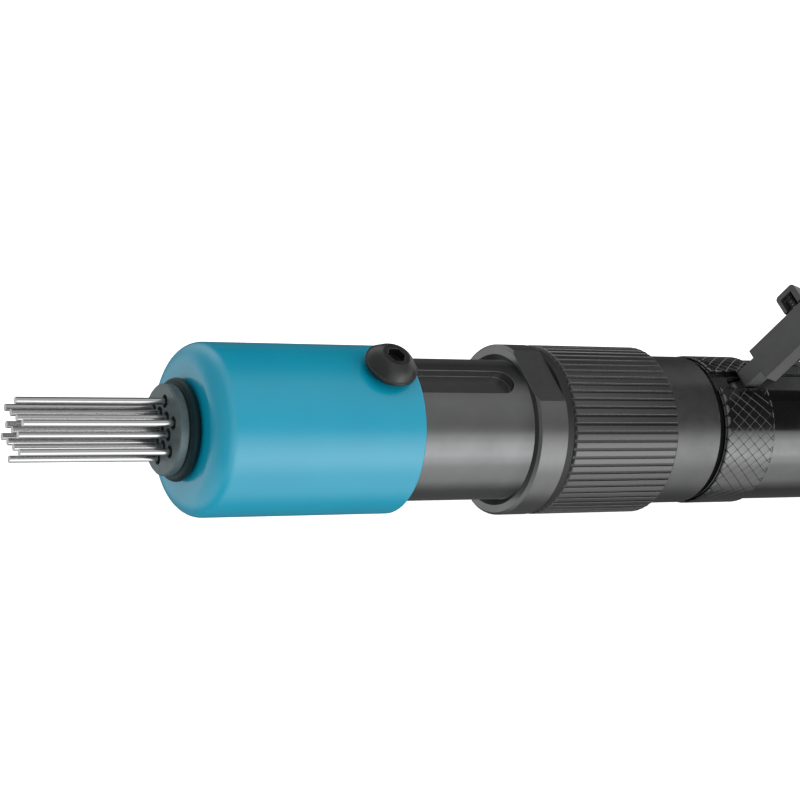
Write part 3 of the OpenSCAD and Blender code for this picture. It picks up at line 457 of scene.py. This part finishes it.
def dress(piece, finish):
    piece.data.materials.clear()
    piece.data.materials.append(FINISHES[finish])


def dress_nodes():
    for name, node in NODES.items():
        dress(node, OWN_FINISH.get(name, SLOT_OF[name]))
    for name in UNREFLECTED:
        NODES[name].visible_glossy = False


def new_object(name, data):
    made = bpy.data.objects.new(name, data)
    bpy.context.scene.collection.objects.link(made)
    return made


def formed_piece(name, bm):
    """A piece from a form that is complete. The form itself is freed."""
    mesh = bpy.data.meshes.new(name)
    bm.to_mesh(mesh)
    bm.free()
    return new_object(name, mesh)


def stand_in(piece, node):
    """The piece takes the node's place, body and finish."""
    dress(piece, SLOT_OF[node])
    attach(piece, BODY_OF[node])
    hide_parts(node)
    return piece


# Handle: the node's own form, with its front band cut as a diamond knurl
def band_end(mesh, top, body):
    """Station where the raised band falls to the handle's own diameter."""
    return max(v.co.x for v in mesh.vertices if radius_of(v.co) > (top + body) / 2)


def channel_half_width(mesh, top):
    """Half the width of the channel along the top, from the band's upper corners beside it."""
    return min(abs(v.co.y) for v in mesh.vertices if radius_of(v.co) > top - MATCH and v.co.z > 0)


def sink_band(mesh, radius, body):
    """Lowers what stands above the body's radius to the given one, under the knurl."""
    for vertex in mesh.vertices:
        r = radius_of(vertex.co)
        if r > body:
            vertex.co.y *= radius / r
            vertex.co.z *= radius / r


def diamond_band(start, end, top):
    """Diamonds on a sleeve, whose middles are every other point of a lattice of half pitches. The grooves
    cross at the points between."""
    bm = bmesh.new()
    half_turn = math.pi / KNURL_COUNT
    half_pitch = KNURL_PITCH / 2
    floor = top - KNURL_DEPTH
    crossings = {}

    def place(i, j, r):
        a = i * half_turn
        return Vector((start + j * half_pitch, r * math.sin(a), r * math.cos(a)))

    def crossing(i, j):
        key = (i % (2 * KNURL_COUNT), j)
        if key not in crossings:
            crossings[key] = bm.verts.new(place(*key, floor))
        return crossings[key]

    def lid(i, j):
        """The diamond's top as a grid of points, with its smooth faces."""
        steps = [2 * k / KNURL_CELLS - 1 for k in range(KNURL_CELLS + 1)]
        grid = [[bm.verts.new(place(i + KNURL_TOP * (s - t) / 2, j + KNURL_TOP * (s + t) / 2, top))
                 for t in steps] for s in steps]
        for a in range(KNURL_CELLS):
            for b in range(KNURL_CELLS):
                face = bm.faces.new((grid[a][b], grid[a][b + 1], grid[a + 1][b + 1], grid[a + 1][b]))
                face.smooth = True
        return grid

    rows = math.ceil((end - start) / half_pitch) + 1
    for j in range(-1, rows):
        for i in range(j % 2, 2 * KNURL_COUNT, 2):
            grid = lid(i, j)
            sides = (grid[-1], [row[-1] for row in reversed(grid)],
                     grid[0][::-1], [row[0] for row in grid])
            corners = [crossing(i + di, j + dj) for di, dj in ((1, 0), (0, 1), (-1, 0), (0, -1))]
            for side, corner, following in zip(sides, corners, corners[1:] + corners[:1]):
                bm.faces.new([corner, following] + side[::-1])
                for first, second in zip(side, side[1:]):
                    bm.edges.get((first, second)).smooth = False
    return bm


def trim(bm, point, normal):
    """Cuts the band with a plane and drops what lies on the normal's side."""
    everything = bm.verts[:] + bm.edges[:] + bm.faces[:]
    bmesh.ops.bisect_plane(bm, geom=everything, plane_co=point, plane_no=normal, clear_outer=True)


def open_channel(bm, half_width):
    """Takes the diamonds away over the channel along the handle's top."""
    for side in (-1, 1):
        upper = [f for f in bm.faces if f.calc_center_median().z > 0]
        parts = set(upper)
        for face in upper:
            parts.update(face.verts)
            parts.update(face.edges)
        plane = (0, side * half_width, 0)
        bmesh.ops.bisect_plane(bm, geom=list(parts), plane_co=plane, plane_no=(0, side, 0))
    inside = [f for f in bm.faces
              if f.calc_center_median().z > 0 and abs(f.calc_center_median().y) < half_width]
    bmesh.ops.delete(bm, geom=inside, context="FACES")


def knurled_band(start, end, top, channel):
    bm = diamond_band(start, end, top)
    trim(bm, (start, 0, 0), (-1, 0, 0))
    trim(bm, (end, 0, 0), (1, 0, 0))
    open_channel(bm, channel + KNURL_INSET)
    bmesh.ops.recalc_face_normals(bm, faces=bm.faces[:])
    knurl = formed_piece("handle_knurl", bm)
    shell = knurl.modifiers.new("shell", "SOLIDIFY")
    shell.thickness = KNURL_SHELL
    shell.offset = -1
    dress(knurl, "knurl_black")
    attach(knurl, BODY_OF["handle"])


def handle():
    mesh = NODES["handle"].data.copy()
    low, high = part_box("handle")
    top = high.y
    body = max(radius_of(v.co) for v in mesh.vertices if v.co.x > (low.x + high.x) / 2)
    start = low.x + KNURL_EDGE
    end = band_end(mesh, top, body) - KNURL_EDGE
    knurled_band(start, end, top, channel_half_width(mesh, top))
    sink_band(mesh, top - KNURL_DEPTH - KNURL_BED, body + MATCH)
    stand_in(new_object("handle_body", mesh), "handle")


# Springs: round wire along a smooth helix, in place of the coarser coils
def wire_mesh(name, points, wire):
    """A round wire along the points, as a mesh."""
    curve = bpy.data.curves.new(name, "CURVE")
    curve.dimensions = "3D"
    curve.bevel_depth = wire / 2
    curve.bevel_resolution = WIRE_ROUNDING
    curve.use_fill_caps = True
    spline = curve.splines.new("POLY")
    spline.points.add(len(points) - 1)
    for target, point in zip(spline.points, points):
        target.co = (*point, 1)
    piece = new_object(name, curve)
    bpy.context.view_layer.update()
    mesh = bpy.data.meshes.new_from_object(piece.evaluated_get(bpy.context.evaluated_depsgraph_get()))
    bpy.data.objects.remove(piece)
    for polygon in mesh.polygons:
        polygon.use_smooth = True
    return mesh


def spring(node, centre, axis, across, radius, wire, turns, leg=0.0):
    """A coil about the axis, as long as the node. A leg runs on straight from its first end."""
    low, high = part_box(node)
    along = Vector(axis)
    first = Vector(across)
    second = along.cross(first)
    ends = sorted((low.dot(along), high.dot(along)))
    start = ends[0] + wire / 2
    length = ends[1] - ends[0] - wire
    base = centre - along * centre.dot(along)
    count = round(turns * SPRING_STEPS)
    points = []
    for k in range(count + 1):
        angle = 2 * math.pi * k / SPRING_STEPS
        ring = radius * (math.cos(angle) * first + math.sin(angle) * second)
        points.append(base + ring + along * (start + length * k / count))
    if leg:
        points.insert(0, points[0] + (points[0] - points[1]).normalized() * leg)
    name = node + "_wire"
    return stand_in(new_object(name, wire_mesh(name, points, wire)), node)


def middle(node):
    low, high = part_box(node)
    return (low + high) / 2


def needle_spring():
    low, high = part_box("needle_spring")
    radius = (high.y - low.y - NEEDLE_SPRING["wire"]) / 2
    piece = spring("needle_spring", Vector((0, 0, 0)), (1, 0, 0), (0, 1, 0), radius, **NEEDLE_SPRING)
    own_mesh(piece)


def throttle_spring():
    low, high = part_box("throttle_spring")
    radius = (high.y - low.y - THROTTLE_SPRING["wire"]) / 2
    stem = middle("throttle_valve")
    piece = spring("throttle_spring", stem, (0, 0, 1), (1, 0, 0), radius, **THROTTLE_SPRING)
    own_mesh(piece)


def latch_spring():
    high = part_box("latch_spring")[1]
    pin = middle("latch_pin")
    radius = min(high.x - pin.x, high.z - pin.z) - LATCH_SPRING["wire"] / 2
    spring("latch_spring", pin, (0, 1, 0), (1, 0, 0), radius, **LATCH_SPRING)


# Stage: a plain white floor and a dome around it, which only the camera sees
def stage_paint(name, glow):
    f = Finish(name)
    f.fixed(Emission_Color=(1, 1, 1, 1), Emission_Strength=glow)
    tone = f.mottle(f.noise(0.004), grey(0.80), grey(0.83))
    grain = f.bump(f.noise(0.5), strength=0.02, depth=STAGE_GRAIN)
    return f.finish(tone, f.vary(f.noise(0.01), 0.75, 0.85), grain)


def stage_piece(name, bm, glow):
    piece = formed_piece(name, bm)
    piece.data.materials.append(stage_paint(name + "_paint", glow))
    piece.location = (0, 0, cad_low.z)
    piece.visible_diffuse = False
    piece.visible_glossy = False
    piece.visible_shadow = False


def stage():
    disc = bmesh.new()
    bmesh.ops.create_circle(disc, cap_ends=True, segments=FLOOR_SEGMENTS, radius=STAGE_RADIUS)
    stage_piece("floor", disc, FLOOR_GLOW)
    dome = bmesh.new()
    around, upright = DOME_SEGMENTS
    bmesh.ops.create_uvsphere(dome, u_segments=around, v_segments=upright, radius=STAGE_RADIUS)
    stage_piece("backdrop", dome, DOME_GLOW)


# Dark card above the tool, which shows only in gloss and darkens the grip's upper side
def card_paint():
    f = Finish("card_paint")
    tone = f.mottle(f.noise(0.01), grey(0.05), grey(0.06))
    grain = f.bump(f.noise(0.5), strength=0.02, depth=STAGE_GRAIN)
    return f.finish(tone, f.vary(f.noise(0.01), 0.9, 1.0), grain)


def card_corner(station, degrees):
    """The card's corner, as a point of the axis sees it at an angle about the axis, leaning along it."""
    a = math.radians(degrees)
    across = math.sqrt(1 - CARD_LEAN ** 2)
    way = Vector((CARD_LEAN, -across * math.cos(a), across * math.sin(a)))
    return Vector((station, 0, 0)) + way * (CARD_HEIGHT / way.z)


def card():
    first, last = CARD_STATIONS
    near, far = CARD_ANGLES
    bm = bmesh.new()
    corners = ((first, near), (last, near), (last, far), (first, far))
    bm.faces.new([bm.verts.new(card_corner(*corner)) for corner in corners])
    piece = formed_piece("card", bm)
    piece.data.materials.append(card_paint())
    piece.visible_camera = False
    piece.visible_diffuse = False
    piece.visible_shadow = False


def sky():
    """Light from all around, which changes along the tool's axis: the front light, then the fill, the key
    and the fill again."""
    world = bpy.data.worlds.new("studio")
    bpy.context.scene.world = world
    light = Nodes(world)
    way = light.axes(light.add("ShaderNodeTexCoord").outputs["Generated"])
    near = light.compute("ShaderNodeMath", "MULTIPLY", way["Y"], -1.0)["Value"]
    angle = light.compute("ShaderNodeMath", "ARCTAN2", way["Z"], near)["Value"]
    turn = light.span(angle, 0.0, 1.0, -math.pi, math.pi)

    def bands(levels):
        """Brightness by the angle around the tool's axis."""
        ramp = light.add("ShaderNodeValToRGB")
        light.feed(ramp.inputs["Fac"], turn)
        stops = ramp.color_ramp.elements
        for degrees, _ in levels[1:-1]:
            stops.new(degrees / 360 + 0.5)
        for stop, (_, level) in zip(stops, levels):
            stop.color = grey(level)
        return ramp.outputs["Color"]

    def change(first, second, stretch):
        """The first light ahead of a stretch along the tool's axis, and the second behind it."""
        return light.mix(light.span(way["X"], 0.0, 1.0, *stretch), first, second, "FLOAT")

    fill = bands(SKY_FILL)
    front = light.span(way["Z"], SKY_FRONT_HIGH, SKY_FRONT_LOW, *SKY_FRONT_HEIGHTS)
    strength = change(front, fill, FRONT_TO_FILL)
    strength = change(strength, bands(SKY_KEY), FILL_TO_KEY)
    strength = change(strength, fill, KEY_TO_FILL)
    background = light.tree.nodes["Background"]
    background.inputs["Color"].default_value = grey(1.0)
    light.feed(background.inputs["Strength"], strength)


def softbox():
    """A wide soft lamp within the key light's band."""
    data = bpy.data.lights.new("softbox", "AREA")
    data.shape = "RECTANGLE"
    data.size, data.size_y = LAMP_SIZE
    data.energy = LAMP_GLOW * math.pi * data.size * data.size_y
    lamp = new_object("softbox", data)
    lamp.location = LAMP_AT
    lamp.rotation_euler = LAMP_AT.to_track_quat("Z", "Y").to_euler()
    lamp.visible_camera = False


def camera():
    data = bpy.data.cameras.new("camera")
    data.sensor_width = SENSOR_MM
    data.lens = FOCAL_PX / IMAGE_PX * SENSOR_MM
    data.clip_start, data.clip_end = CAMERA_CLIP
    eye = new_object("camera", data)
    right = CAMERA_FORWARD.cross(CAMERA_UP).normalized()
    up = right.cross(CAMERA_FORWARD).normalized()
    turn = Matrix((right, up, -CAMERA_FORWARD.normalized())).transposed()
    eye.matrix_world = Matrix.Translation(CAMERA_AT) @ turn.to_4x4()
    bpy.context.scene.camera = eye


dress_nodes()
camera()
handle()
needle_spring()
throttle_spring()
latch_spring()
stage()
card()
sky()
softbox()
bpy.context.scene.view_settings.view_transform = "Standard"
